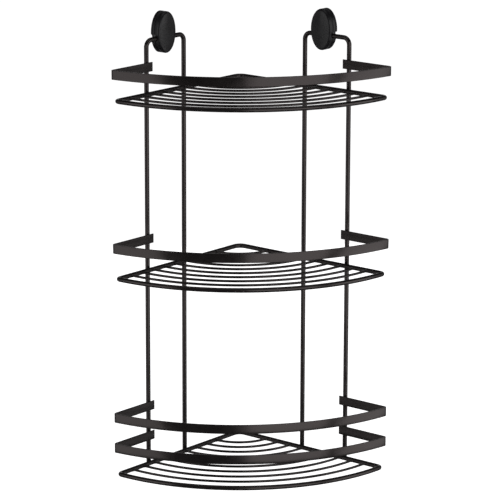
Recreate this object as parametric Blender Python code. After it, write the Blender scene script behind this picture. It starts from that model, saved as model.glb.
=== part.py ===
"""Three-tier corner shower caddy in black coated wire, hung from two oval wall fixings.

Frame: metres, +Z up. The two walls of the shower meet in the vertical line X = Y = 0, the left wall
runs away from it along (-1, -1), the right wall along (+1, -1), and the room lies towards -Y.
Z = 0 is the underside of the bottom shelf.

Every place is given by its wall, s = distance from the corner line along the wall,
d = distance from the wall into the room, and z = height.
"""

import math

import bmesh
import bpy
from mathutils import Matrix, Vector

MM = 0.001
GAP = 0.3 * MM                  # left between pieces that are welded, pressed or screwed together

# Wire and strip stock
ROD = 5.5 * MM                  # wall frames and shelf rims, diameter
SLOT_WIRE = 3.0 * MM            # the thinner wires across a shelf, diameter
STRIP_THICKNESS = 1.5 * MM
STRIP_HEIGHT = 11.0 * MM

# Wall frames: one inverted U of rod on each wall
ROD_FROM_WALL = 8.0 * MM        # rod's centre line
LEG_SPACING = 65.0 * MM
INNER_LEG = 108.3 * MM          # s of the leg nearer the corner
OUTER_LEG = INNER_LEG + LEG_SPACING
CROSSBAR_HEIGHT = 506.5 * MM
CROSSBAR_BEND = 8.0 * MM

# Shelves: a rim of rod, with its front a quarter circle about its back corner
RIM_FROM_WALL = ROD_FROM_WALL + ROD + GAP
SHELF_SIDE = 218.0 * MM         # back corner to tip, which is also the front's radius
RIM_BACK_BEND = 9.0 * MM
RIM_TIP_BEND = 4.5 * MM
SLOT_WIRE_COUNT = 9
FIRST_SLOT_RADIUS = 44.5 * MM
SLOT_PITCH = 18.8 * MM

# Each tier: name, height of the rim's centre above the bottom one, heights of its rails above the rim
TIERS = (
    ("bottom", 0.0, {"bottom_rail_lower": 33.0 * MM, "bottom_rail_upper": 69.5 * MM}),
    ("middle", 235.0 * MM, {"middle_rail": 36.5 * MM}),
    ("top", 442.5 * MM, {"top_rail": 31.0 * MM}),
)

# Rails: flat strip on edge, folded at both tips, its arms welded on the room side of the outer legs
RAIL_FROM_WALL = ROD_FROM_WALL + (ROD + STRIP_THICKNESS) / 2 + GAP
RAIL_TIP = 237.8 * MM           # s of the fold
RAIL_FRONT_RADIUS = 250.0 * MM
RAIL_FOLD = 3.0 * MM
RAIL_PAST_LEG = 6.0 * MM        # how far an arm runs on past the outer leg, towards the corner

# Oval wall fixings. Their depths are measured from the wall.
FIXING_WIDTH = 30.5 * MM
FIXING_HEIGHT = 48.5 * MM
FIXING_DEPTH = 15.0 * MM
FIXING_ABOVE_ROD = 6.5 * MM     # fixing's centre above the crossbar
FIXING_SHIFT = {"left": 2.0 * MM, "right": -5.5 * MM}   # along the crossbar, away from the corner
PAD_INSET = 3.0 * MM
PAD_DEPTH = 1.0 * MM
PLATE_BACK = PAD_DEPTH + GAP
PLATE_FRONT = 3.5 * MM
CARRIER_BACK = 3.9 * MM
CARRIER_FRONT = 10.5 * MM
CARRIER_INSET = 2.0 * MM
CAP_WALL = 1.6 * MM
CAP_EDGE_ROUND = 2.5 * MM

# The cap's side notches, open to the wall, where the crossbar passes through
NOTCH_RADIUS = 3.9 * MM
NOTCH_ABOVE_ROD = 0.5 * MM
NOTCH_END = 7.4 * MM            # depth of the centre of its round end
PLATE_RECESS = 2.8 * MM         # how deep the wall plate is cut away there

# Mushroom stud on the wall plate, and the keyhole in the carrier that hangs on it
STUD_HEIGHT = 13.0 * MM         # above the fixing's centre
STUD_NECK_RADIUS = 2.5 * MM
STUD_HEAD_RADIUS = 4.5 * MM
STUD_HEAD_BACK = 5.5 * MM
STUD_HEAD_FRONT = 7.0 * MM
STUD_FOOT_FRONT = 2.0 * MM
SLIDING_PLAY = 0.4 * MM         # room round the stud in its keyhole and the pegs in their holes
KEYHOLE_DROP = 8.0 * MM         # from the slot's end down to the wide opening
KEYHOLE_LIP = 5.2 * MM          # depth at which the head's pocket begins

# Clamp over the crossbar and its two screws
CLAMP_STEP = 8.0 * MM           # depth of the carrier's face under the clamp
CLAMP_FRONT = 12.0 * MM
CLAMP_TOP = 3.0 * MM
CLAMP_BOTTOM = -16.2 * MM
SCREW_PLACES = {"upper": (-7.0 * MM, -0.6 * MM), "lower": (7.0 * MM, -12.2 * MM)}
SCREW_RADIUS = 1.5 * MM
SCREW_HEAD_RADIUS = 2.75 * MM
SCREW_HEAD_DEPTH = 1.7 * MM
SCREW_TIP = 5.2 * MM
SCREW_SOCKET_RADIUS = 1.25 * MM
SCREW_SOCKET_DEPTH = 1.0 * MM

# Pegs that hold the cap on the carrier
PEG_RADIUS = 1.5 * MM
PEG_HEIGHT = 19.5 * MM          # above and below the fixing's centre
PEG_TIP = 8.2 * MM

# Roundness of the meshes
ROD_SIDES_SETTING = 3           # a curve's bevel_resolution: 4 + 2 x this sides
WIRE_SIDES_SETTING = 2
STEPS_PER_BEND = 5
STEPS_PER_FRONT = 20
OVAL_SIDES = 48
HOLE_SIDES = 20
STUD_SIDES = 24
SCREW_SIDES = 18
SMALL_HOLE_SIDES = 12

SIDES = {"left": -1, "right": 1}
DIAGONAL = math.sqrt(0.5)
ROD_AXIS_DROP = -FIXING_ABOVE_ROD


# ---- materials -------------------------------------------------------------------------------

def make_material(name, colour, roughness, metallic):
    material = bpy.data.materials.new(name)
    material.use_nodes = True
    shader = material.node_tree.nodes["Principled BSDF"]
    shader.inputs["Base Color"].default_value = (*colour, 1.0)
    shader.inputs["Roughness"].default_value = roughness
    shader.inputs["Metallic"].default_value = metallic
    return material


def make_materials():
    return {
        "black_coating": make_material("black_coating", (0.030, 0.028, 0.029), 0.42, 0.35),
        "black_plastic": make_material("black_plastic", (0.022, 0.021, 0.023), 0.50, 0.0),
        "inner_plastic": make_material("inner_plastic", (0.055, 0.055, 0.058), 0.55, 0.0),
        "steel": make_material("steel", (0.55, 0.55, 0.56), 0.30, 1.0),
        "foam": make_material("foam", (0.30, 0.30, 0.31), 0.90, 0.0),
    }


# ---- placing ---------------------------------------------------------------------------------

def wall_point(side, s, d, z):
    """The point at s along the wall, d into the room and height z."""
    sign = SIDES[side]
    return Vector((sign * DIAGONAL * (s - d), -DIAGONAL * (s + d), z))


def add_object(name, data, material, parent=None):
    data.materials.clear()
    data.materials.append(material)
    thing = bpy.data.objects.new(name, data)
    thing.parent = parent
    bpy.context.scene.collection.objects.link(thing)
    return thing


# ---- wire ------------------------------------------------------------------------------------

def rounded_corner(before, corner, after, radius):
    """The arc of this radius that takes the place of a corner between two straight runs."""
    back = (before - corner).normalized()
    ahead = (after - corner).normalized()
    half_angle = back.angle(ahead) / 2
    start = corner + back * (radius / math.tan(half_angle))
    centre = corner + (back + ahead).normalized() * (radius / math.sin(half_angle))
    turn = math.pi - 2 * half_angle
    axis = (start - centre).cross(corner - start).normalized()
    return [
        centre + Matrix.Rotation(turn * step / STEPS_PER_BEND, 3, axis) @ (start - centre)
        for step in range(STEPS_PER_BEND + 1)
    ]


def wire(name, points, diameter, sides_setting, material, closed=False):
    """A round wire along these points, with closed ends or joined into a ring."""
    curve = bpy.data.curves.new(name, "CURVE")
    curve.dimensions = "3D"
    curve.twist_mode = "MINIMUM"
    curve.bevel_depth = diameter / 2
    curve.bevel_resolution = sides_setting
    curve.use_fill_caps = True
    spline = curve.splines.new("POLY")
    spline.points.add(len(points) - 1)
    for place, point in zip(spline.points, points):
        place.co = (*point, 1.0)
    spline.use_cyclic_u = closed
    spline.use_smooth = True
    return add_object(name, curve, material)


def make_wall_frame(side, material):
    """One inverted U: outer leg, crossbar and inner leg bent from one rod."""
    def at(s, z):
        return wall_point(side, s, ROD_FROM_WALL, z)

    outer_foot, inner_foot = at(OUTER_LEG, 0.0), at(INNER_LEG, 0.0)
    outer_top, inner_top = at(OUTER_LEG, CROSSBAR_HEIGHT), at(INNER_LEG, CROSSBAR_HEIGHT)
    points = [outer_foot]
    points += rounded_corner(outer_foot, outer_top, inner_top, CROSSBAR_BEND)
    points += rounded_corner(outer_top, inner_top, inner_foot, CROSSBAR_BEND)
    points.append(inner_foot)
    wire(f"{side}_wall_frame", points, ROD, ROD_SIDES_SETTING, material)


def shelf_arc(radius, trim, height, steps):
    """Quarter circle about the rim's back corner, cut back by trim at both ends, from left to right."""
    centre = wall_point("left", RIM_FROM_WALL, RIM_FROM_WALL, height)
    reach = math.pi / 4 - trim / radius
    return [
        centre + radius * Vector((math.sin(angle), -math.cos(angle), 0.0))
        for angle in (reach * (2 * step / steps - 1) for step in range(steps + 1))
    ]


def make_rim(tier, height, material):
    """Closed ring of rod: two straight sides, a bent back corner, bent tips and the curved front."""
    corner = wall_point("left", RIM_FROM_WALL, RIM_FROM_WALL, height)
    left_tip = wall_point("left", RIM_FROM_WALL + SHELF_SIDE, RIM_FROM_WALL, height)
    right_tip = wall_point("right", RIM_FROM_WALL + SHELF_SIDE, RIM_FROM_WALL, height)
    front = shelf_arc(SHELF_SIDE, 1.5 * RIM_TIP_BEND, height, STEPS_PER_FRONT)
    points = rounded_corner(left_tip, corner, right_tip, RIM_BACK_BEND)[::-1]
    points += rounded_corner(corner, left_tip, front[0], RIM_TIP_BEND)
    points += front
    points += rounded_corner(front[-1], right_tip, corner, RIM_TIP_BEND)
    wire(f"{tier}_shelf_rim", points, ROD, ROD_SIDES_SETTING, material, closed=True)


def make_slot_wires(tier, height, material):
    """Concentric arcs that carry what stands on the shelf, butted between the rim's sides."""
    trim = ROD / 2 + GAP
    for index in range(SLOT_WIRE_COUNT):
        radius = FIRST_SLOT_RADIUS + SLOT_PITCH * index
        steps = 6 + index
        points = shelf_arc(radius, trim, height, steps)
        name = f"{tier}_shelf_wire_{index + 1}"
        wire(name, points, SLOT_WIRE, WIRE_SIDES_SETTING, material)


# ---- rails -----------------------------------------------------------------------------------

def rail_front(height):
    """The rail's front arc through both folds, about a point on the plane of symmetry."""
    fold = wall_point("right", RAIL_TIP, RAIL_FROM_WALL, height)
    reach = math.asin(fold.x / RAIL_FRONT_RADIUS)
    centre = Vector((0.0, fold.y + RAIL_FRONT_RADIUS * math.cos(reach), height))
    reach -= 2 * RAIL_FOLD / RAIL_FRONT_RADIUS
    return [
        centre + RAIL_FRONT_RADIUS * Vector((math.sin(angle), -math.cos(angle), 0.0))
        for angle in (reach * (2 * step / STEPS_PER_FRONT - 1) for step in range(STEPS_PER_FRONT + 1))
    ]


def make_rail(name, height, material):
    """Strip on edge: left arm, fold, front arc, fold, right arm. The path is thickened sideways."""
    arm_end = OUTER_LEG - RAIL_PAST_LEG
    left_end = wall_point("left", arm_end, RAIL_FROM_WALL, height)
    right_end = wall_point("right", arm_end, RAIL_FROM_WALL, height)
    left_fold = wall_point("left", RAIL_TIP, RAIL_FROM_WALL, height)
    right_fold = wall_point("right", RAIL_TIP, RAIL_FROM_WALL, height)
    front = rail_front(height)
    path = [left_end]
    path += rounded_corner(left_end, left_fold, front[0], RAIL_FOLD)
    path += front
    path += rounded_corner(front[-1], right_fold, right_end, RAIL_FOLD)
    path.append(right_end)

    shape = bmesh.new()
    lift = Vector((0.0, 0.0, STRIP_HEIGHT / 2))
    low = [shape.verts.new(point - lift) for point in path]
    high = [shape.verts.new(point + lift) for point in path]
    for here in range(len(path) - 1):
        shape.faces.new((low[here], low[here + 1], high[here + 1], high[here]))
    mesh = bpy.data.meshes.new(name)
    shape.to_mesh(mesh)
    shape.free()
    rail = add_object(name, mesh, material)
    thicken = rail.modifiers.new("thickness", "SOLIDIFY")
    thicken.thickness = STRIP_THICKNESS
    thicken.offset = 0.0
    thicken.use_even_offset = True


# ---- solids of the wall fixings --------------------------------------------------------------
# In a fixing's own axes X runs along the wall, Y is the depth from the wall and Z is up, all from
# the point of the wall behind the fixing's centre.

def finish_mesh(name, shape):
    bmesh.ops.recalc_face_normals(shape, faces=shape.faces)
    mesh = bpy.data.meshes.new(name)
    shape.to_mesh(mesh)
    shape.free()
    return mesh


def lofted(name, rings, sides):
    """A solid through rings of (half width, half height, depth, x, z), with flat ends."""
    shape = bmesh.new()
    loops = []
    for half_width, half_height, depth, x, z in rings:
        angles = [2 * math.pi * step / sides for step in range(sides)]
        loops.append([
            shape.verts.new((x + half_width * math.cos(a), depth, z + half_height * math.sin(a)))
            for a in angles
        ])
    for near, far in zip(loops, loops[1:]):
        for step in range(sides):
            after = (step + 1) % sides
            shape.faces.new((near[step], near[after], far[after], far[step]))
    shape.faces.new(loops[0])
    shape.faces.new(loops[-1])
    return finish_mesh(name, shape)


def oval(name, inset, back, front):
    """Oval disc, inset from the fixing's outline."""
    half_width, half_height = FIXING_WIDTH / 2 - inset, FIXING_HEIGHT / 2 - inset
    rings = [(half_width, half_height, depth, 0.0, 0.0) for depth in (back, front)]
    return lofted(name, rings, OVAL_SIDES)


def round_bar(radius, back, front, x=0.0, z=0.0, sides=HOLE_SIDES):
    """Cylinder along the depth."""
    return lofted("round_bar", [(radius, radius, depth, x, z) for depth in (back, front)], sides)


def cross_bar(radius, depth, z, reach):
    """Cylinder along the wall, as long as the fixing and more."""
    mesh = round_bar(radius, -reach, reach)
    mesh.transform(Matrix.Translation((0.0, depth, z)) @ Matrix.Rotation(math.pi / 2, 4, "Z"))
    return mesh


def block(low, high):
    shape = bmesh.new()
    bmesh.ops.create_cube(shape, size=1.0)
    middle = (Vector(low) + Vector(high)) / 2
    size = Vector(high) - Vector(low)
    for vert in shape.verts:
        vert.co = middle + Vector(a * b for a, b in zip(vert.co, size))
    return finish_mesh("block", shape)


def combined(operation, body, *others):
    """The body with each other mesh cut from it, joined to it or intersected with it."""
    for other in others:
        thing = bpy.data.objects.new("body", body)
        tool = bpy.data.objects.new("tool", other)
        for each in (thing, tool):
            bpy.context.scene.collection.objects.link(each)
        boolean = thing.modifiers.new("boolean", "BOOLEAN")
        boolean.operation = operation
        boolean.object = tool
        graph = bpy.context.evaluated_depsgraph_get()
        result = bpy.data.meshes.new_from_object(thing.evaluated_get(graph))
        result.name = body.name
        for each in (thing, tool):
            bpy.data.objects.remove(each)
        body = result
    return body


def side_notch():
    """Cutter for the crossbar's way through both sides: a slot with a round end, open to the wall."""
    z = ROD_AXIS_DROP + NOTCH_ABOVE_ROD
    slot = block((-FIXING_WIDTH, -GAP, z - NOTCH_RADIUS), (FIXING_WIDTH, NOTCH_END, z + NOTCH_RADIUS))
    return combined("UNION", slot, cross_bar(NOTCH_RADIUS, NOTCH_END, z, FIXING_WIDTH))


def adhesive_pad():
    return oval("adhesive_pad", PAD_INSET, 0.0, PAD_DEPTH)


def wall_plate():
    """Oval plate, cut away at its sides behind the crossbar, with a stepped hole for the stud."""
    plate = oval("wall_plate", 0.0, PLATE_BACK, PLATE_FRONT)
    z = ROD_AXIS_DROP + NOTCH_ABOVE_ROD
    edge = FIXING_WIDTH / 2 - PLATE_RECESS
    recesses = [
        block((min(x, 2 * x), 0.0, z - NOTCH_RADIUS), (max(x, 2 * x), CARRIER_BACK, z + NOTCH_RADIUS))
        for x in (-edge, edge)
    ]
    hole = round_bar(STUD_NECK_RADIUS + GAP, 0.0, CARRIER_BACK, z=STUD_HEIGHT)
    foot_seat = round_bar(STUD_HEAD_RADIUS + GAP, 0.0, STUD_FOOT_FRONT + GAP, z=STUD_HEIGHT)
    return combined("DIFFERENCE", plate, *recesses, hole, foot_seat)


def hanger_stud():
    """Turned stud: flat foot behind the plate, neck through it, and a head for the keyhole."""
    profile = (
        (STUD_HEAD_RADIUS, PLATE_BACK),
        (STUD_HEAD_RADIUS, STUD_FOOT_FRONT),
        (STUD_NECK_RADIUS, STUD_FOOT_FRONT),
        (STUD_NECK_RADIUS, STUD_HEAD_BACK),
        (STUD_HEAD_RADIUS, STUD_HEAD_BACK),
        (STUD_HEAD_RADIUS, STUD_HEAD_FRONT),
    )
    rings = [(radius, radius, depth, 0.0, STUD_HEIGHT) for radius, depth in profile]
    return lofted("hanger_stud", rings, STUD_SIDES)


def keyhole():
    """Cutters for the keyhole: a wide opening below, a slot up to the stud and a pocket for its head."""
    neck = STUD_NECK_RADIUS + SLIDING_PLAY
    head = STUD_HEAD_RADIUS + SLIDING_PLAY
    pocket_front = STUD_HEAD_FRONT + GAP
    bottom, top = STUD_HEIGHT - KEYHOLE_DROP, STUD_HEIGHT
    opening = round_bar(head, 0.0, pocket_front, z=bottom, sides=STUD_SIDES)
    slot = block((-neck, 0.0, bottom), (neck, KEYHOLE_LIP + GAP, top))
    slot_end = round_bar(neck, 0.0, KEYHOLE_LIP + GAP, z=top, sides=STUD_SIDES)
    pocket = block((-head, KEYHOLE_LIP, bottom), (head, pocket_front, top))
    pocket_end = round_bar(head, KEYHOLE_LIP, pocket_front, z=top, sides=STUD_SIDES)
    return opening, slot, slot_end, pocket, pocket_end


def carrier():
    """Oval body that clamps on the crossbar and hangs on the stud by its keyhole."""
    body = oval("carrier", CARRIER_INSET, CARRIER_BACK, CARRIER_FRONT)
    step = block(
        (-FIXING_WIDTH, CLAMP_STEP, CLAMP_BOTTOM - GAP),
        (FIXING_WIDTH, FIXING_DEPTH, CLAMP_TOP + GAP),
    )
    channel = cross_bar(ROD / 2 + GAP, ROD_FROM_WALL, ROD_AXIS_DROP, FIXING_WIDTH)
    screw_holes = [
        round_bar(SCREW_RADIUS + GAP, SCREW_TIP - 2 * GAP, FIXING_DEPTH, x, z, SMALL_HOLE_SIDES)
        for x, z in SCREW_PLACES.values()
    ]
    peg_hole_back = PEG_TIP - SLIDING_PLAY
    peg_holes = [
        round_bar(PEG_RADIUS + SLIDING_PLAY, peg_hole_back, FIXING_DEPTH, z=z, sides=SMALL_HOLE_SIDES)
        for z in (-PEG_HEIGHT, PEG_HEIGHT)
    ]
    return combined("DIFFERENCE", body, step, channel, *keyhole(), *screw_holes, *peg_holes)


def rod_clamp():
    """Oval slice over the crossbar, with its own half of the channel and counterbored screw seats."""
    slab = oval("rod_clamp", CARRIER_INSET + GAP, CLAMP_STEP + GAP, CLAMP_FRONT)
    slice_box = block(
        (-FIXING_WIDTH, 0.0, CLAMP_BOTTOM), (FIXING_WIDTH, FIXING_DEPTH, CLAMP_TOP)
    )
    slab = combined("INTERSECT", slab, slice_box)
    channel = cross_bar(ROD / 2 + GAP, ROD_FROM_WALL, ROD_AXIS_DROP, FIXING_WIDTH)
    seat_back = CLAMP_FRONT - SCREW_HEAD_DEPTH - GAP
    holes = []
    for x, z in SCREW_PLACES.values():
        holes.append(round_bar(SCREW_RADIUS + GAP, 0.0, FIXING_DEPTH, x, z, SMALL_HOLE_SIDES))
        holes.append(round_bar(SCREW_HEAD_RADIUS + GAP, seat_back, FIXING_DEPTH, x, z))
    return combined("DIFFERENCE", slab, channel, *holes)


def clamp_screw():
    """Pan-head screw with a hexagon socket, its own axis at X = Z = 0."""
    head_back = CLAMP_FRONT - SCREW_HEAD_DEPTH
    edge = 0.4 * MM
    profile = (
        (SCREW_RADIUS - edge, SCREW_TIP),
        (SCREW_RADIUS, SCREW_TIP + edge),
        (SCREW_RADIUS, head_back),
        (SCREW_HEAD_RADIUS, head_back),
        (SCREW_HEAD_RADIUS, CLAMP_FRONT - edge),
        (SCREW_HEAD_RADIUS - edge, CLAMP_FRONT),
    )
    rings = [(radius, radius, depth, 0.0, 0.0) for radius, depth in profile]
    screw = lofted("clamp_screw", rings, SCREW_SIDES)
    socket = round_bar(SCREW_SOCKET_RADIUS, CLAMP_FRONT - SCREW_SOCKET_DEPTH, FIXING_DEPTH, sides=6)
    return combined("DIFFERENCE", screw, socket)


def cap():
    """Oval shell with a rounded front edge, notched for the crossbar, and two pegs inside."""
    half_width, half_height = FIXING_WIDTH / 2, FIXING_HEIGHT / 2
    rings = [(half_width, half_height, CARRIER_BACK, 0.0, 0.0)]
    for step in range(5):
        angle = math.pi / 2 * step / 4
        inset = CAP_EDGE_ROUND * (1 - math.cos(angle))
        depth = FIXING_DEPTH - CAP_EDGE_ROUND * (1 - math.sin(angle))
        rings.append((half_width - inset, half_height - inset, depth, 0.0, 0.0))
    shell = lofted("cap", rings, OVAL_SIDES)
    hollow = oval("hollow", CAP_WALL, 0.0, FIXING_DEPTH - CAP_WALL)
    shell = combined("DIFFERENCE", shell, hollow, side_notch())
    pegs = [
        round_bar(PEG_RADIUS, PEG_TIP, FIXING_DEPTH - CAP_WALL / 2, z=z, sides=SMALL_HOLE_SIDES)
        for z in (-PEG_HEIGHT, PEG_HEIGHT)
    ]
    return combined("UNION", shell, *pegs)


def make_fixings(materials):
    """Both wall fixings, from the same meshes, each under an empty on its wall."""
    pieces = (
        ("adhesive_pad", adhesive_pad(), "foam"),
        ("wall_plate", wall_plate(), "black_plastic"),
        ("hanger_stud", hanger_stud(), "steel"),
        ("carrier", carrier(), "inner_plastic"),
        ("rod_clamp", rod_clamp(), "inner_plastic"),
        ("cap", cap(), "black_plastic"),
    )
    screw = clamp_screw()
    middle = (INNER_LEG + OUTER_LEG) / 2
    for side, sign in SIDES.items():
        fixing = bpy.data.objects.new(f"{side}_fixing", None)
        fixing.location = wall_point(
            side, middle + FIXING_SHIFT[side], 0.0, CROSSBAR_HEIGHT + FIXING_ABOVE_ROD
        )
        fixing.rotation_euler.z = sign * math.radians(135)
        bpy.context.scene.collection.objects.link(fixing)
        for name, mesh, material in pieces:
            add_object(f"{side}_{name}", mesh, materials[material], fixing)
        for place, (x, z) in SCREW_PLACES.items():
            piece = add_object(f"{side}_clamp_screw_{place}", screw, materials["steel"], fixing)
            piece.location = (x, 0.0, z)


def shade_round(meshes):
    for mesh in meshes:
        mesh.shade_smooth()
        mesh.set_sharp_from_angle(angle=math.radians(35))


def main():
    for thing in list(bpy.data.objects):
        bpy.data.objects.remove(thing)
    materials = make_materials()
    coating = materials["black_coating"]
    for side in SIDES:
        make_wall_frame(side, coating)
    for tier, above, rails in TIERS:
        height = ROD / 2 + above
        make_rim(tier, height, coating)
        make_slot_wires(tier, height, coating)
        for name, rise in rails.items():
            make_rail(name, height + rise, coating)
    make_fixings(materials)
    shade_round({thing.data for thing in bpy.data.objects if thing.type == "MESH"})


main()
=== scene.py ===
"""Looks of the three-tier corner shower caddy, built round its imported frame.

Metres, +Z up. The shower's walls meet in the line X = Y = 0 and run at 45 degrees to both axes, and the
room lies towards -Y. A place is given as in the frame: s along a wall from the corner line, d from that
wall into the room, and z up. Each welded wire, strip and fixing piece of the frame gets a fine mesh.
"""

import math

import bmesh
import bpy
from mathutils import Matrix, Vector, noise


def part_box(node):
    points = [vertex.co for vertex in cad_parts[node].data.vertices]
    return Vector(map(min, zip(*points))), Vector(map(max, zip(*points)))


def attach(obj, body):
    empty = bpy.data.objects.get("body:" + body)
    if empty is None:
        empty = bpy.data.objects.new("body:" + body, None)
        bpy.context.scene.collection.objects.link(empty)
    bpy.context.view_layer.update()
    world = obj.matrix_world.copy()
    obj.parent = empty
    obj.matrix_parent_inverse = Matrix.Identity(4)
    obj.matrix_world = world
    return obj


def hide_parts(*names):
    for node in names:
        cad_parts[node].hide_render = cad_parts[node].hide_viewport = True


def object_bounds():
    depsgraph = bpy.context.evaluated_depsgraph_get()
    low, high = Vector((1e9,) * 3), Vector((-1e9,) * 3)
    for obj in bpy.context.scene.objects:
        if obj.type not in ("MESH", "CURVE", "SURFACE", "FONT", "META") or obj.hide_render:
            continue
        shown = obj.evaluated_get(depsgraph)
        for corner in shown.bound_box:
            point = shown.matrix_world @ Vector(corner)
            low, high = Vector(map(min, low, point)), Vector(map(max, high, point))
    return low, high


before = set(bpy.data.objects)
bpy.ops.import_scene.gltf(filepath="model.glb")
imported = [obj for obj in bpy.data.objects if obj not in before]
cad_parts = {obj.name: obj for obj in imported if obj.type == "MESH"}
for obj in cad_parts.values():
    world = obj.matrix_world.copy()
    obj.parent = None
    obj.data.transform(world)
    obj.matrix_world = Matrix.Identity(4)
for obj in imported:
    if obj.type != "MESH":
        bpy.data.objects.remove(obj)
cad_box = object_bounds()

MM = 0.001
DIAGONAL = math.sqrt(0.5)
SIDES = {"left": -1, "right": 1}
TIERS = ("bottom", "middle", "top")
RAILS = ("bottom_rail_lower", "bottom_rail_upper", "middle_rail", "top_rail")
SLOT_WIRE_COUNT = 9

# Stock, the same as the frame's
ROD_RADIUS = 2.75 * MM
SLOT_WIRE_RADIUS = 1.5 * MM
STRIP_THICKNESS = 1.5 * MM
WELD_GAP = 0.3 * MM
CROSSBAR_BEND = 8.0 * MM
RIM_BACK_BEND = 9.0 * MM
RIM_TIP_BEND = 4.5 * MM
RAIL_TIP = 237.8 * MM
RAIL_FRONT_RADIUS = 250.0 * MM
RAIL_FOLD = 3.0 * MM
RAIL_PAST_LEG = 6.0 * MM

# Wall fixings, the same as the frame's: ovals, with depths measured from the wall
FIXING_WIDTH = 30.5 * MM
FIXING_HEIGHT = 48.5 * MM
FIXING_DEPTH = 15.0 * MM
PAD_INSET = 3.0 * MM
PAD_DEPTH = 1.0 * MM
PLATE_BACK = 1.3 * MM
PLATE_FRONT = 3.5 * MM
PLATE_RECESS = 2.8 * MM
CAP_BACK = 3.9 * MM
CAP_WALL = 1.6 * MM
NOTCH_RADIUS = 3.9 * MM
NOTCH_END = 7.4 * MM
NOTCH_DROP = 6.0 * MM           # below the fixing's centre
STUD_HEIGHT = 13.0 * MM
STUD_NECK_RADIUS = 2.5 * MM
STUD_HEAD_RADIUS = 4.5 * MM
STUD_FOOT_FRONT = 2.0 * MM
PEG_RADIUS = 1.5 * MM
PEG_HEIGHT = 19.5 * MM
PEG_TIP = 8.2 * MM

# Fineness of the meshes
ROD_SIDES = 24
SLOT_WIRE_SIDES = 14
TURNED_SIDES = 32
OVAL_SIDES = 96
FLOOR_SIDES = 96
WELD_SEGMENTS = 20
WELD_RINGS = 12
ROUND_END_STEPS = 4
STRIP_CORNER_STEPS = 3
EDGE_STEPS = 4
CAP_FRONT_STEPS = 8
CROWN_STEPS = 9
WAIST_STEPS = 12
PAD_STEPS = 6
BEVEL_SEGMENTS = 3
BEND_STEP = math.radians(5)
FRONT_STEP = math.radians(1.5)
SAME_POINT = 0.001 * MM         # points nearer than this are one
SAME_PLANE = math.radians(0.5)  # faces that turn less than this are one
BEVELLED_FROM = math.radians(40)
SHARP_FROM = math.radians(35)

# Finish of the wires and strips
END_ROUND = 0.9 * MM
STRIP_EDGE = 0.5 * MM
STRIP_END_ROUND = 0.8 * STRIP_EDGE

# Welds. Half sizes are along the wall, off it and up.
LEG_WELD = (2.0 * MM, 1.1 * MM, 2.0 * MM)
RAIL_WELD = (1.7 * MM, 0.8 * MM, 1.9 * MM)
RAIL_WELD_RISE = 2.6 * MM       # above and below the rail's middle
WELD_LUMPINESS = 0.10
LUMPS_PER_WELD = 1.7
LUMP_VARIETY = 900              # takes each weld to its own part of the noise
FLARE = 0.65 * MM               # how much a shelf wire widens where it meets the rim
FLARE_FADE = 0.55 * MM          # distance over which that fades by a factor of e
FLARE_RINGS = [mm * MM for mm in (0.0, 0.4, 0.8, 1.1, 1.4, 1.8, 2.3, 3.0, 4.0, 5.5)]

# Finish of the wall fixings
MOULDED_EDGE = 0.35 * MM
CAP_CUT_EDGE = 0.7 * MOULDED_EDGE
PLATE_CUT_EDGE = 0.6 * MOULDED_EDGE
CARRIER_EDGE = 0.3 * MM
STUD_EDGE = 0.2 * MM
SCREW_EDGE = 0.12 * MM
CAP_CEILING = FIXING_DEPTH - 1.25 * CAP_WALL
CAP_FRONT_ROUND = 3.0 * MM
CAP_CROWN = 0.8 * MM            # how much the face rises towards its middle
WAIST = (5.6 * MM, 8.2 * MM)    # depths between which the cap's side draws in
WAIST_INSET = 0.8 * MM
PAD_BULGE = 0.25 * MM


# ---- places read from the frame ---------------------------------------------------------------

def points_of(node):
    """A CAD node's own points, each once."""
    return [Vector(p) for p in {tuple(v.co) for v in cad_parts[node].data.vertices}]


def mean(points):
    return sum(points, Vector()) / len(points)


def middle(node):
    low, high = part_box(node)
    return (low + high) / 2


def wall_point(side, s, d, z):
    sign = SIDES[side]
    return Vector((sign * DIAGONAL * (s - d), -DIAGONAL * (s + d), z))


def along_wall(side):
    return wall_point(side, 1.0, 0.0, 0.0)


def from_wall(side):
    return wall_point(side, 0.0, 1.0, 0.0)


def leg_places():
    """s of the left frame's inner and outer leg, and the rod's d, from the middles of its two feet."""
    feet = [p for p in points_of("left_wall_frame") if p.z < MM]
    between = (min(p.x for p in feet) + max(p.x for p in feet)) / 2
    inner = mean([p for p in feet if p.x > between])
    outer = mean([p for p in feet if p.x < between])
    along, inwards = along_wall("left"), from_wall("left")
    return inner.dot(along), outer.dot(along), outer.dot(inwards)


INNER_LEG, OUTER_LEG, ROD_DEPTH = leg_places()
CROSSBAR_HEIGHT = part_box("left_wall_frame")[1].z - ROD_RADIUS
RIM_DEPTH = ROD_DEPTH + 2 * ROD_RADIUS + WELD_GAP
RAIL_DEPTH = ROD_DEPTH + ROD_RADIUS + WELD_GAP + STRIP_THICKNESS / 2
SHELF_CORNER_Y = wall_point("left", RIM_DEPTH, RIM_DEPTH, 0.0).y
SHELF_SIDE = SHELF_CORNER_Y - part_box("bottom_shelf_rim")[0].y - ROD_RADIUS


def shelf_corner(tier):
    """Where the centre lines of the shelf's two sides meet."""
    return Vector((0.0, SHELF_CORNER_Y, middle(f"{tier}_shelf_rim").z))


def slot_wire_radius(node):
    """Radius of a shelf wire about the shelf's corner, halfway between its nearest and farthest points."""
    reaches = [math.hypot(p.x, p.y - SHELF_CORNER_Y) for p in points_of(node)]
    return (min(reaches) + max(reaches)) / 2


# ---- sweeping and adding ----------------------------------------------------------------------

def add_piece(name, mesh, material, body, slot, *nodes):
    """Adds a finished piece that rides on a body and stands for these CAD nodes."""
    mesh.materials.clear()
    mesh.materials.append(material)
    piece = bpy.data.objects.new(name, mesh)
    bpy.context.scene.collection.objects.link(piece)
    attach(piece, body)
    if nodes:
        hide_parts(*nodes)


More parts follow.
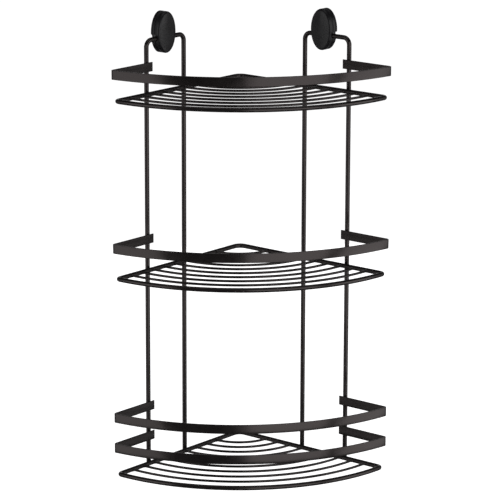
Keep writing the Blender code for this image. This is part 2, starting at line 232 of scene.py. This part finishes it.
def finished(name, shape):
    """The bmesh as a mesh with its faces out and shaded smooth."""
    bmesh.ops.recalc_face_normals(shape, faces=shape.faces)
    mesh = bpy.data.meshes.new(name)
    shape.to_mesh(mesh)
    shape.free()
    mesh.shade_smooth()
    return mesh


def skinned(name, rings, closed):
    """Skin through rings of points, with flat ends or joined into a loop."""
    shape = bmesh.new()
    loops = [[shape.verts.new(point) for point in ring] for ring in rings]
    pairs = list(zip(loops, loops[1:]))
    if closed:
        pairs.append((loops[-1], loops[0]))
    count = len(loops[0])
    for near, far in pairs:
        for step in range(count):
            after = (step + 1) % count
            shape.faces.new((near[step], near[after], far[after], far[step]))
    if not closed:
        shape.faces.new(loops[0])
        shape.faces.new(loops[-1])
    return finished(name, shape)


def tangents(path, closed):
    """Direction of the path at each of its points."""
    last = len(path) - 1
    found = []
    for index in range(len(path)):
        before = path[index - 1] if closed or index else path[0]
        after = path[(index + 1) % len(path)] if closed or index < last else path[last]
        found.append((after - before).normalized())
    return found


def swept(name, path, normal, outlines, closed=False):
    """Each outline of (sideways, along normal) stood across the flat path at its own point."""
    rings = []
    for centre, ahead, outline in zip(path, tangents(path, closed), outlines):
        sideways = ahead.cross(normal)
        rings.append([centre + sideways * across + normal * up for across, up in outline])
    return skinned(name, rings, closed)


def circle(radius, sides):
    angles = [2 * math.pi * step / sides for step in range(sides)]
    return [(radius * math.cos(angle), radius * math.sin(angle)) for angle in angles]


def rounded_oblong(half_width, half_height, corner):
    """Outline of a strip's section with rounded corners."""
    outline = []
    for quarter, (x, y) in enumerate(((1, 1), (-1, 1), (-1, -1), (1, -1))):
        for step in range(STRIP_CORNER_STEPS + 1):
            angle = math.pi / 2 * (quarter + step / STRIP_CORNER_STEPS)
            outline.append((
                x * (half_width - corner) + corner * math.cos(angle),
                y * (half_height - corner) + corner * math.sin(angle),
            ))
    return outline


def rounded_ends(path, outline_at, round_off):
    """The path with both ends rounded off: its points, and the outline at each of them."""
    first, last = path[0], path[-1]
    out_first = (first - path[1]).normalized()
    out_last = (last - path[-2]).normalized()
    turns = [math.pi / 2 * step / ROUND_END_STEPS for step in range(ROUND_END_STEPS + 1)]
    points, insets = [], []
    for turn in reversed(turns):
        points.append(first + out_first * round_off * (math.sin(turn) - 1))
        insets.append(round_off * (1 - math.cos(turn)))
    points += path[1:-1]
    insets += [0.0] * (len(path) - 2)
    for turn in turns:
        points.append(last + out_last * round_off * (math.sin(turn) - 1))
        insets.append(round_off * (1 - math.cos(turn)))
    return points, [outline_at(inset) for inset in insets]


def bend(before, corner, after, radius):
    """The arc of this radius that takes the place of a corner between two straight runs."""
    back = (before - corner).normalized()
    ahead = (after - corner).normalized()
    half_angle = back.angle(ahead) / 2
    start = corner + back * (radius / math.tan(half_angle))
    centre = corner + (back + ahead).normalized() * (radius / math.sin(half_angle))
    turn = math.pi - 2 * half_angle
    axis = (start - centre).cross(corner - start).normalized()
    steps = math.ceil(turn / BEND_STEP)
    return [
        centre + Matrix.Rotation(turn * step / steps, 3, axis) @ (start - centre)
        for step in range(steps + 1)
    ]


def front_arc(centre, radius, reach):
    """Arc of the shelf's front, this far to both sides of straight ahead, from left to right."""
    steps = 2 * math.ceil(reach / FRONT_STEP)
    angles = [reach * (2 * step / steps - 1) for step in range(steps + 1)]
    return [centre + radius * Vector((math.sin(a), -math.cos(a), 0.0)) for a in angles]


# ---- wires and rails --------------------------------------------------------------------------

UP = Vector((0.0, 0.0, 1.0))


def make_frame_rod(side, material):
    """One wall's inverted U of rod, its feet rounded off."""
    def at(s, z):
        return wall_point(side, s, ROD_DEPTH, z)

    outer_foot, inner_foot = at(OUTER_LEG, 0.0), at(INNER_LEG, 0.0)
    outer_top, inner_top = at(OUTER_LEG, CROSSBAR_HEIGHT), at(INNER_LEG, CROSSBAR_HEIGHT)
    path = [outer_foot]
    path += bend(outer_foot, outer_top, inner_top, CROSSBAR_BEND)
    path += bend(outer_top, inner_top, inner_foot, CROSSBAR_BEND)
    path.append(inner_foot)
    path, outlines = rounded_ends(path, lambda inset: circle(ROD_RADIUS - inset, ROD_SIDES), END_ROUND)
    mesh = swept("frame_rod", path, from_wall(side), outlines)
    add_piece(f"{side}_frame_rod", mesh, material, "rack", "black_coating", f"{side}_wall_frame")


def make_rim_rod(tier, material):
    """Closed ring of rod round a shelf."""
    corner = shelf_corner(tier)
    left_tip = corner + along_wall("left") * SHELF_SIDE
    right_tip = corner + along_wall("right") * SHELF_SIDE
    front = front_arc(corner, SHELF_SIDE, math.pi / 4 - RIM_TIP_BEND / SHELF_SIDE)
    path = bend(right_tip, corner, left_tip, RIM_BACK_BEND)
    path += bend(corner, left_tip, front[0], RIM_TIP_BEND)
    path += front
    path += bend(front[-1], right_tip, corner, RIM_TIP_BEND)
    mesh = swept("rim_rod", path, UP, [circle(ROD_RADIUS, ROD_SIDES)] * len(path), closed=True)
    add_piece(f"{tier}_rim_rod", mesh, material, "rack", "black_coating", f"{tier}_shelf_rim")


def make_slot_wire(tier, number, material):
    """Arc of thin wire between the rim's sides, flaring into a weld where it meets each."""
    node = f"{tier}_shelf_wire_{number}"
    radius = slot_wire_radius(node)
    buried = ROD_RADIUS / 2
    reach = math.pi / 4 - buried / radius
    plain_reach = reach - FLARE_RINGS[-1] / radius
    steps = math.ceil(2 * reach / FRONT_STEP)
    angles = [-reach + distance / radius for distance in FLARE_RINGS]
    angles += [plain_reach * (2 * step / steps - 1) for step in range(1, steps)]
    angles += [reach - distance / radius for distance in reversed(FLARE_RINGS)]
    path, outlines = [], []
    for angle in angles:
        path.append(shelf_corner(tier) + radius * Vector((math.sin(angle), -math.cos(angle), 0.0)))
        from_rim = max(0.0, (reach - abs(angle)) * radius - (ROD_RADIUS - buried))
        flare = FLARE * math.exp(-from_rim / FLARE_FADE)
        outlines.append(circle(SLOT_WIRE_RADIUS + flare, SLOT_WIRE_SIDES))
    mesh = swept("slot_wire", path, UP, outlines)
    add_piece(f"{tier}_slot_wire_{number}", mesh, material, "rack", "black_coating", node)


def make_strip(rail, material):
    """Guard rail of flat strip on edge, with softened edges: arm, fold, front arc, fold, arm."""
    height = middle(rail).z
    low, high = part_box(rail)
    half_height = (high.z - low.z) / 2
    arm_end = OUTER_LEG - RAIL_PAST_LEG
    ends = {side: wall_point(side, arm_end, RAIL_DEPTH, height) for side in SIDES}
    folds = {side: wall_point(side, RAIL_TIP, RAIL_DEPTH, height) for side in SIDES}
    reach = math.asin(folds["right"].x / RAIL_FRONT_RADIUS)
    centre_y = folds["right"].y + RAIL_FRONT_RADIUS * math.cos(reach)
    centre = Vector((0.0, centre_y, height))
    front = front_arc(centre, RAIL_FRONT_RADIUS, reach - 1.5 * RAIL_FOLD / RAIL_FRONT_RADIUS)
    path = [ends["left"]]
    path += bend(ends["left"], folds["left"], front[0], RAIL_FOLD)
    path += front
    path += bend(front[-1], folds["right"], ends["right"], RAIL_FOLD)
    path.append(ends["right"])

    def section(inset):
        return rounded_oblong(STRIP_THICKNESS / 2 - inset, half_height - inset, STRIP_EDGE - inset)

    path, outlines = rounded_ends(path, section, STRIP_END_ROUND)
    mesh = swept("strip", path, UP, outlines)
    add_piece(f"{rail}_strip", mesh, material, "rack", "black_coating", rail)


def nugget(shape, centre, side, half_sizes):
    """Adds a weld between two wires to the shape: a low, slightly uneven lens."""
    axes = Matrix((along_wall(side), from_wall(side), UP)).transposed()
    made = bmesh.ops.create_uvsphere(
        shape, u_segments=WELD_SEGMENTS, v_segments=WELD_RINGS, radius=1.0
    )
    for vert in made["verts"]:
        lumpy = 1.0 + WELD_LUMPINESS * noise.noise(vert.co * LUMPS_PER_WELD + centre * LUMP_VARIETY)
        vert.co = centre + axes @ Vector(a * b * lumpy for a, b in zip(vert.co, half_sizes))


def make_welds(side, material):
    """All the welds of one wall frame: its legs on the shelves' sides, its outer leg on the rails' arms."""
    shape = bmesh.new()
    depth = ROD_DEPTH + ROD_RADIUS + WELD_GAP / 2
    for tier in TIERS:
        height = shelf_corner(tier).z
        for s in (INNER_LEG, OUTER_LEG):
            nugget(shape, wall_point(side, s, depth, height), side, LEG_WELD)
    for rail in RAILS:
        for rise in (-RAIL_WELD_RISE, RAIL_WELD_RISE):
            place = wall_point(side, OUTER_LEG, depth, middle(rail).z + rise)
            nugget(shape, place, side, RAIL_WELD)
    add_piece(f"{side}_frame_welds", finished("welds", shape), material, "rack", "black_coating")


# ---- wall fixings -----------------------------------------------------------------------------
# In a fixing's own axes X runs along the wall, Y is the depth from it and Z is up.

def fixing_place(side):
    """Where the fixing's own axes stand, from the middle of its wall plate."""
    plate = middle(f"{side}_wall_plate")
    s = DIAGONAL * (abs(plate.x) + abs(plate.y))
    turn = Matrix.Rotation(SIDES[side] * math.radians(135), 4, "Z")
    return Matrix.Translation(wall_point(side, s, 0.0, plate.z)) @ turn


def oval_solid(name, profile):
    """Solid through rings of the fixing's oval, each (inset from the outline, depth)."""
    rings = []
    for inset, depth in profile:
        half_width, half_height = FIXING_WIDTH / 2 - inset, FIXING_HEIGHT / 2 - inset
        rings.append([Vector((x * half_width, depth, z * half_height)) for x, z in circle(1.0, OVAL_SIDES)])
    return skinned(name, rings, closed=False)


def turned(radius, back, front, z=0.0):
    """Cylinder along the depth, at this height above the fixing's centre."""
    outline = circle(radius, TURNED_SIDES)
    rings = [[Vector((u, depth, z + v)) for u, v in outline] for depth in (back, front)]
    return skinned("turned", rings, closed=False)


def block(low, high):
    """Box between two corners."""
    corners = [(low[0], low[2]), (high[0], low[2]), (high[0], high[2]), (low[0], high[2])]
    rings = [[Vector((x, depth, z)) for x, z in corners] for depth in (low[1], high[1])]
    return skinned("block", rings, closed=False)


def quarter(inset, depth, radius, first, last, steps=EDGE_STEPS):
    """Arc of a profile about (inset, depth), between two angles in degrees."""
    turns = [math.radians(first + (last - first) * step / steps) for step in range(steps + 1)]
    return [(inset + radius * math.cos(turn), depth + radius * math.sin(turn)) for turn in turns]


def modified(mesh, kind, **settings):
    """The mesh with one modifier applied."""
    thing = bpy.data.objects.new("shaped", mesh)
    bpy.context.scene.collection.objects.link(thing)
    modifier = thing.modifiers.new(kind.lower(), kind)
    for setting, value in settings.items():
        setattr(modifier, setting, value)
    graph = bpy.context.evaluated_depsgraph_get()
    result = bpy.data.meshes.new_from_object(thing.evaluated_get(graph))
    bpy.data.objects.remove(thing)
    return result


def combined(operation, mesh, *others):
    """The mesh with each other one cut from it or joined to it."""
    for other in others:
        tool = bpy.data.objects.new("tool", other)
        bpy.context.scene.collection.objects.link(tool)
        mesh = modified(mesh, "BOOLEAN", operation=operation, object=tool)
        bpy.data.objects.remove(tool)
    return mesh


def soft_edged(mesh, width):
    """The mesh with its sharp edges rounded over, once its loose triangles are joined into faces."""
    shape = bmesh.new()
    shape.from_mesh(mesh)
    bmesh.ops.remove_doubles(shape, verts=shape.verts, dist=SAME_POINT)
    bmesh.ops.dissolve_limit(shape, angle_limit=SAME_PLANE, verts=shape.verts, edges=shape.edges)
    shape.to_mesh(mesh)
    shape.free()
    mesh = modified(
        mesh, "BEVEL", width=width, segments=BEVEL_SEGMENTS, limit_method="ANGLE",
        angle_limit=BEVELLED_FROM, harden_normals=False, use_clamp_overlap=True,
    )
    mesh.shade_smooth()
    mesh.set_sharp_from_angle(angle=SHARP_FROM)
    return mesh


def cap_profile():
    """The cap's section from its inside round the back edge, over the waist and up to the face's middle."""
    edge = MOULDED_EDGE
    profile = quarter(CAP_WALL + edge, CAP_CEILING - edge, edge, 90, 180)
    profile += quarter(CAP_WALL - edge, CAP_BACK + edge, edge, 0, -90)
    profile += quarter(edge, CAP_BACK + edge, edge, -90, -180)
    for step in range(WAIST_STEPS + 1):
        drawn_in = WAIST_INSET * (1 - math.cos(2 * math.pi * step / WAIST_STEPS)) / 2
        profile.append((drawn_in, WAIST[0] + (WAIST[1] - WAIST[0]) * step / WAIST_STEPS))
    rim_depth = FIXING_DEPTH - CAP_CROWN - CAP_FRONT_ROUND
    profile += quarter(CAP_FRONT_ROUND, rim_depth, CAP_FRONT_ROUND, 180, 90, CAP_FRONT_STEPS)
    reach = FIXING_WIDTH / 2 - CAP_FRONT_ROUND
    for step in range(1, CROWN_STEPS):
        across = step / CROWN_STEPS
        rise = CAP_CROWN * math.sin(across * math.pi / 2)
        profile.append((CAP_FRONT_ROUND + across * reach, FIXING_DEPTH - CAP_CROWN + rise))
    return profile


def cap_shell():
    """Moulded cap: a hollow oval with a waist, notches for the crossbar and two pegs inside."""
    shell = oval_solid("cap_shell", cap_profile())
    slot = block(
        (-FIXING_WIDTH, 0.0, -NOTCH_DROP - NOTCH_RADIUS),
        (FIXING_WIDTH, NOTCH_END, -NOTCH_DROP + NOTCH_RADIUS),
    )
    slot_end = turned(NOTCH_RADIUS, -FIXING_WIDTH, FIXING_WIDTH)
    slot_end.transform(
        Matrix.Translation((0.0, NOTCH_END, -NOTCH_DROP)) @ Matrix.Rotation(math.pi / 2, 4, "Z")
    )
    shell = combined("DIFFERENCE", shell, slot, slot_end)
    peg_root = CAP_CEILING + CAP_WALL / 2
    pegs = [turned(PEG_RADIUS, PEG_TIP, peg_root, z=z) for z in (-PEG_HEIGHT, PEG_HEIGHT)]
    shell = combined("UNION", shell, *pegs)
    return soft_edged(shell, CAP_CUT_EDGE)


def back_plate():
    """Oval wall plate with rounded edges, side recesses for the crossbar and the stud's stepped hole."""
    edge = MOULDED_EDGE
    profile = quarter(edge, PLATE_BACK + edge, edge, -90, -180)
    profile += quarter(edge, PLATE_FRONT - edge, edge, 180, 90)
    plate = oval_solid("back_plate", profile)
    side_edge = FIXING_WIDTH / 2 - PLATE_RECESS
    recesses = [
        block(
            (min(x, 2 * x), 0.0, -NOTCH_DROP - NOTCH_RADIUS),
            (max(x, 2 * x), CAP_BACK, -NOTCH_DROP + NOTCH_RADIUS),
        )
        for x in (-side_edge, side_edge)
    ]
    hole = turned(STUD_NECK_RADIUS + WELD_GAP, 0.0, CAP_BACK, z=STUD_HEIGHT)
    foot_seat = turned(STUD_HEAD_RADIUS + WELD_GAP, 0.0, STUD_FOOT_FRONT + WELD_GAP, z=STUD_HEIGHT)
    plate = combined("DIFFERENCE", plate, *recesses, hole, foot_seat)
    return soft_edged(plate, PLATE_CUT_EDGE)


def pad_disc():
    """Foam pad whose cut edge bulges a little between wall and plate."""
    profile = []
    for step in range(PAD_STEPS + 1):
        swell = math.sin(math.pi * step / PAD_STEPS)
        profile.append((PAD_INSET + PAD_BULGE * (1 - swell), PAD_DEPTH * step / PAD_STEPS))
    return oval_solid("pad_disc", profile)


def softened_copy(node, width):
    """A CAD piece's own shape with its edges rounded, as moulded or turned."""
    return soft_edged(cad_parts[node].data.copy(), width)


def make_fixing(side, looks):
    """All the pieces of one wall fixing, each on the body that its CAD piece is on."""
    own_shapes = (
        ("pad_disc", pad_disc(), "wall_fixings", "foam", "adhesive_pad"),
        ("back_plate", back_plate(), "wall_fixings", "black_plastic", "wall_plate"),
        ("cap_shell", cap_shell(), f"{side}_cap", "black_plastic", "cap"),
    )
    for name, mesh, body, slot, node in own_shapes:
        mesh.transform(fixing_place(side))
        add_piece(f"{side}_{name}", mesh, looks[slot], body, slot, f"{side}_{node}")
    softened = (
        ("stud", STUD_EDGE, "wall_fixings", "steel", "hanger_stud"),
        ("carrier_body", CARRIER_EDGE, "rack", "inner_plastic", "carrier"),
        ("clamp_body", CARRIER_EDGE, "rack", "inner_plastic", "rod_clamp"),
        ("upper_screw", SCREW_EDGE, "rack", "steel", "clamp_screw_upper"),
        ("lower_screw", SCREW_EDGE, "rack", "steel", "clamp_screw_lower"),
    )
    for name, width, body, slot, node in softened:
        mesh = softened_copy(f"{side}_{node}", width)
        add_piece(f"{side}_{name}", mesh, looks[slot], body, slot, f"{side}_{node}")


# ---- materials --------------------------------------------------------------------------------

TEXTURE_LOW, TEXTURE_HIGH = 0.3, 0.7    # a noise texture's middle range


def new_material(name, colour, roughness, metallic=0.0):
    """A material with its nodes, its links and its shader, in these plain looks to start from."""
    material = bpy.data.materials.new(name)
    material.use_nodes = True
    shader = material.node_tree.nodes["Principled BSDF"]
    shader.inputs["Base Color"].default_value = (*colour, 1.0)
    shader.inputs["Roughness"].default_value = roughness
    shader.inputs["Metallic"].default_value = metallic
    return material, material.node_tree.nodes, material.node_tree.links, shader


def noise_node(nodes, links, place, scale, detail=3.0):
    """Noise with this many lumps to a metre."""
    texture = nodes.new("ShaderNodeTexNoise")
    texture.inputs["Scale"].default_value = scale
    texture.inputs["Detail"].default_value = detail
    links.new(place.outputs["Object"], texture.inputs["Vector"])
    return texture


def spread(nodes, links, source, low, high):
    """Maps a texture's middle range to low..high."""
    mapped = nodes.new("ShaderNodeMapRange")
    mapped.inputs["From Min"].default_value = TEXTURE_LOW
    mapped.inputs["From Max"].default_value = TEXTURE_HIGH
    mapped.inputs["To Min"].default_value = low
    mapped.inputs["To Max"].default_value = high
    links.new(source.outputs[0], mapped.inputs["Value"])
    return mapped.outputs["Result"]


def two_tone(nodes, links, source, dark, light):
    """Colour that drifts between two near tones."""
    ramp = nodes.new("ShaderNodeValToRGB")
    ramp.color_ramp.elements[0].position = TEXTURE_LOW
    ramp.color_ramp.elements[0].color = (*dark, 1.0)
    ramp.color_ramp.elements[1].position = TEXTURE_HIGH
    ramp.color_ramp.elements[1].color = (*light, 1.0)
    links.new(source.outputs[0], ramp.inputs["Fac"])
    return ramp.outputs["Color"]


def add_bump(nodes, links, shader, source, height, strength):
    """Bumps of this height in metres, from a texture."""
    bump = nodes.new("ShaderNodeBump")
    bump.inputs["Distance"].default_value = height
    bump.inputs["Strength"].default_value = strength
    links.new(source.outputs[0], bump.inputs["Height"])
    links.new(bump.outputs["Normal"], shader.inputs["Normal"])


def coated_metal():
    """Satin black powder coat: fine orange peel, patches a little glossier than others."""
    material, nodes, links, shader = new_material("coated_metal", (0.006, 0.005, 0.005), 0.2)
    shader.inputs["Specular Tint"].default_value = (1.0, 0.88, 0.87, 1.0)
    place = nodes.new("ShaderNodeTexCoord")
    patches = noise_node(nodes, links, place, 60.0)
    links.new(spread(nodes, links, patches, 0.17, 0.24), shader.inputs["Roughness"])
    tone = two_tone(nodes, links, patches, (0.0045, 0.0040, 0.0040), (0.0070, 0.0062, 0.0060))
    links.new(tone, shader.inputs["Base Color"])
    peel = noise_node(nodes, links, place, 900.0, 2.0)
    add_bump(nodes, links, shader, peel, 0.01 * MM, 0.5)
    return material


def moulded_plastic(name, dark, light, low, high, grain):
    """Moulded plastic with a fine spark-eroded grain."""
    material, nodes, links, shader = new_material(name, dark, low)
    shader.inputs["Specular IOR Level"].default_value = 0.3
    place = nodes.new("ShaderNodeTexCoord")
    patches = noise_node(nodes, links, place, 90.0)
    links.new(spread(nodes, links, patches, low, high), shader.inputs["Roughness"])
    links.new(two_tone(nodes, links, patches, dark, light), shader.inputs["Base Color"])
    texture = noise_node(nodes, links, place, grain, 2.0)
    add_bump(nodes, links, shader, texture, 0.008 * MM, 0.6)
    return material


def turned_steel():
    """Zinc-plated steel with turning marks and faint clouding."""
    material, nodes, links, shader = new_material("turned_steel", (0.55, 0.55, 0.56), 0.28, 1.0)
    place = nodes.new("ShaderNodeTexCoord")
    clouds = noise_node(nodes, links, place, 300.0)
    links.new(spread(nodes, links, clouds, 0.22, 0.38), shader.inputs["Roughness"])
    tone = two_tone(nodes, links, clouds, (0.48, 0.48, 0.50), (0.62, 0.62, 0.62))
    links.new(tone, shader.inputs["Base Color"])
    marks = noise_node(nodes, links, place, 4000.0, 2.0)
    add_bump(nodes, links, shader, marks, 0.02 * MM, 0.5)
    return material


def foam_tape():
    """Grey closed-cell foam of the adhesive pads."""
    material, nodes, links, shader = new_material("foam_tape", (0.20, 0.20, 0.21), 0.9)
    place = nodes.new("ShaderNodeTexCoord")
    cells = nodes.new("ShaderNodeTexVoronoi")
    cells.inputs["Scale"].default_value = 1800.0
    links.new(place.outputs["Object"], cells.inputs["Vector"])
    tone = two_tone(nodes, links, cells, (0.16, 0.16, 0.17), (0.26, 0.26, 0.27))
    links.new(tone, shader.inputs["Base Color"])
    add_bump(nodes, links, shader, cells, 0.15 * MM, 0.7)
    return material


def floor_paper():
    """Pale studio paper with a faint tooth, bright enough in itself to look white."""
    material, nodes, links, shader = new_material("floor_paper", (0.86, 0.86, 0.86), 0.8)
    shader.inputs["Emission Color"].default_value = (1.0, 1.0, 1.0, 1.0)
    shader.inputs["Emission Strength"].default_value = 1.0
    place = nodes.new("ShaderNodeTexCoord")
    tooth = noise_node(nodes, links, place, 400.0)
    add_bump(nodes, links, shader, tooth, 0.1 * MM, 0.3)
    return material


# ---- stage ------------------------------------------------------------------------------------

FLOOR_DROP = 0.35
FLOOR_RADIUS = 14.0
CAMERA_TARGET = Vector((0.0130, -0.0200, 0.2313))
CAMERA_AZIMUTH = math.radians(-5.338)
CAMERA_ELEVATION = math.radians(13.759)
CAMERA_ROLL = math.radians(0.168)
CAMERA_DISTANCE = 3.4285
CAMERA_LENS = 204.6
CAMERA_CLIP_END = 60.0
SOFTBOX_DISTANCE = 2.4
SOFTBOX_MIDDLE = 0.2
SOFTBOX_HEIGHT = 2.6

# Standing softboxes: between which azimuths in degrees, right of -Y counting as plus, and how bright.
# The dark gap from -44 to 0 is what the rails show as a dark band left of their middles.
STANDING_SOFTBOXES = {
    "left_wing": (-106.0, -77.0, 0.4),
    "left_softbox": (-76.0, -44.0, 1.25),
    "right_softbox": (0.0, 44.0, 1.6),
    "side_softbox": (51.0, 82.0, 1.6),
    "right_wing": (83.0, 106.0, 0.4),
    "back_softbox": (150.0, 210.0, 0.6),
}
TOP_SOFTBOX_PLACE = Vector((0.0, -0.2, 2.6))
TOP_SOFTBOX_SIZE = 2.4
TOP_SOFTBOX_BRIGHTNESS = 0.5


def make_floor():
    """Wide pale floor that the softboxes shine through, below the caddy as it hangs on its wall."""
    shape = bmesh.new()
    bmesh.ops.create_circle(shape, cap_ends=True, segments=FLOOR_SIDES, radius=FLOOR_RADIUS)
    floor = bpy.data.objects.new("floor", finished("floor", shape))
    floor.data.materials.append(floor_paper())
    floor.location.z = -FLOOR_DROP
    floor.visible_glossy = False
    floor.visible_shadow = False
    bpy.context.scene.collection.objects.link(floor)


def make_light(name, place, width, height, brightness):
    """Softbox turned to the caddy. Brightness is the radiance of its face."""
    data = bpy.data.lights.new(name, "AREA")
    data.shape = "RECTANGLE"
    data.size, data.size_y = width, height
    data.energy = brightness * math.pi * width * height
    light = bpy.data.objects.new(name, data)
    light.location = place
    centre = (cad_box[0] + cad_box[1]) / 2
    light.rotation_euler = (centre - place).to_track_quat("-Z", "Y").to_euler()
    light.visible_camera = False
    bpy.context.scene.collection.objects.link(light)


def make_standing_softbox(name, first, last, brightness):
    """Upright softbox that faces the caddy and fills the space between two azimuths."""
    azimuth = math.radians((first + last) / 2)
    half_angle = math.radians((last - first) / 2)
    place = Vector((math.sin(azimuth), -math.cos(azimuth), 0.0)) * SOFTBOX_DISTANCE
    place.z = SOFTBOX_MIDDLE
    make_light(name, place, 2 * SOFTBOX_DISTANCE * math.tan(half_angle), SOFTBOX_HEIGHT, brightness)


def make_lights():
    for name, (first, last, brightness) in STANDING_SOFTBOXES.items():
        make_standing_softbox(name, first, last, brightness)
    make_light(
        "top_softbox", TOP_SOFTBOX_PLACE, TOP_SOFTBOX_SIZE, TOP_SOFTBOX_SIZE, TOP_SOFTBOX_BRIGHTNESS
    )


def make_world():
    """Dim surroundings to light the caddy by, which look white where the camera sees past the floor."""
    world = bpy.data.worlds.new("studio")
    world.use_nodes = True
    nodes, links = world.node_tree.nodes, world.node_tree.links
    seen = nodes["Background"]
    seen.inputs["Color"].default_value = (1.0, 1.0, 1.0, 1.0)
    around = nodes.new("ShaderNodeBackground")
    around.inputs["Color"].default_value = (0.05, 0.05, 0.052, 1.0)
    path = nodes.new("ShaderNodeLightPath")
    mix = nodes.new("ShaderNodeMixShader")
    links.new(path.outputs["Is Camera Ray"], mix.inputs["Fac"])
    links.new(around.outputs["Background"], mix.inputs[1])
    links.new(seen.outputs["Background"], mix.inputs[2])
    links.new(mix.outputs["Shader"], nodes["World Output"].inputs["Surface"])
    bpy.context.scene.world = world


def make_camera():
    """Long lens, a little left of straight ahead and a little above."""
    flat = math.cos(CAMERA_ELEVATION)
    back = Vector((
        math.sin(CAMERA_AZIMUTH) * flat,
        -math.cos(CAMERA_AZIMUTH) * flat,
        math.sin(CAMERA_ELEVATION),
    ))
    data = bpy.data.cameras.new("camera")
    data.lens = CAMERA_LENS
    data.clip_end = CAMERA_CLIP_END
    camera = bpy.data.objects.new("camera", data)
    turn = (-back).to_track_quat("-Z", "Y").to_matrix().to_4x4()
    place = Matrix.Translation(CAMERA_TARGET + back * CAMERA_DISTANCE)
    camera.matrix_world = place @ turn @ Matrix.Rotation(CAMERA_ROLL, 4, "Z")
    bpy.context.scene.collection.objects.link(camera)
    bpy.context.scene.camera = camera


def make_rack():
    """Everything that is welded together and coated."""
    coating = coated_metal()
    for side in SIDES:
        make_frame_rod(side, coating)
        make_welds(side, coating)
    for tier in TIERS:
        make_rim_rod(tier, coating)
        for number in range(1, SLOT_WIRE_COUNT + 1):
            make_slot_wire(tier, number, coating)
    for rail in RAILS:
        make_strip(rail, coating)


def make_fixings():
    looks = {
        "black_plastic": moulded_plastic(
            "shell_plastic", (0.005, 0.0047, 0.0055), (0.008, 0.0075, 0.0085), 0.24, 0.32, 2500.0
        ),
        "inner_plastic": moulded_plastic(
            "carrier_plastic", (0.045, 0.045, 0.048), (0.060, 0.060, 0.063), 0.45, 0.55, 1500.0
        ),
        "steel": turned_steel(),
        "foam": foam_tape(),
    }
    for side in SIDES:
        make_fixing(side, looks)


def main():
    make_rack()
    make_fixings()
    make_floor()
    make_lights()
    make_world()
    make_camera()
    bpy.context.scene.view_settings.view_transform = "Standard"


main()
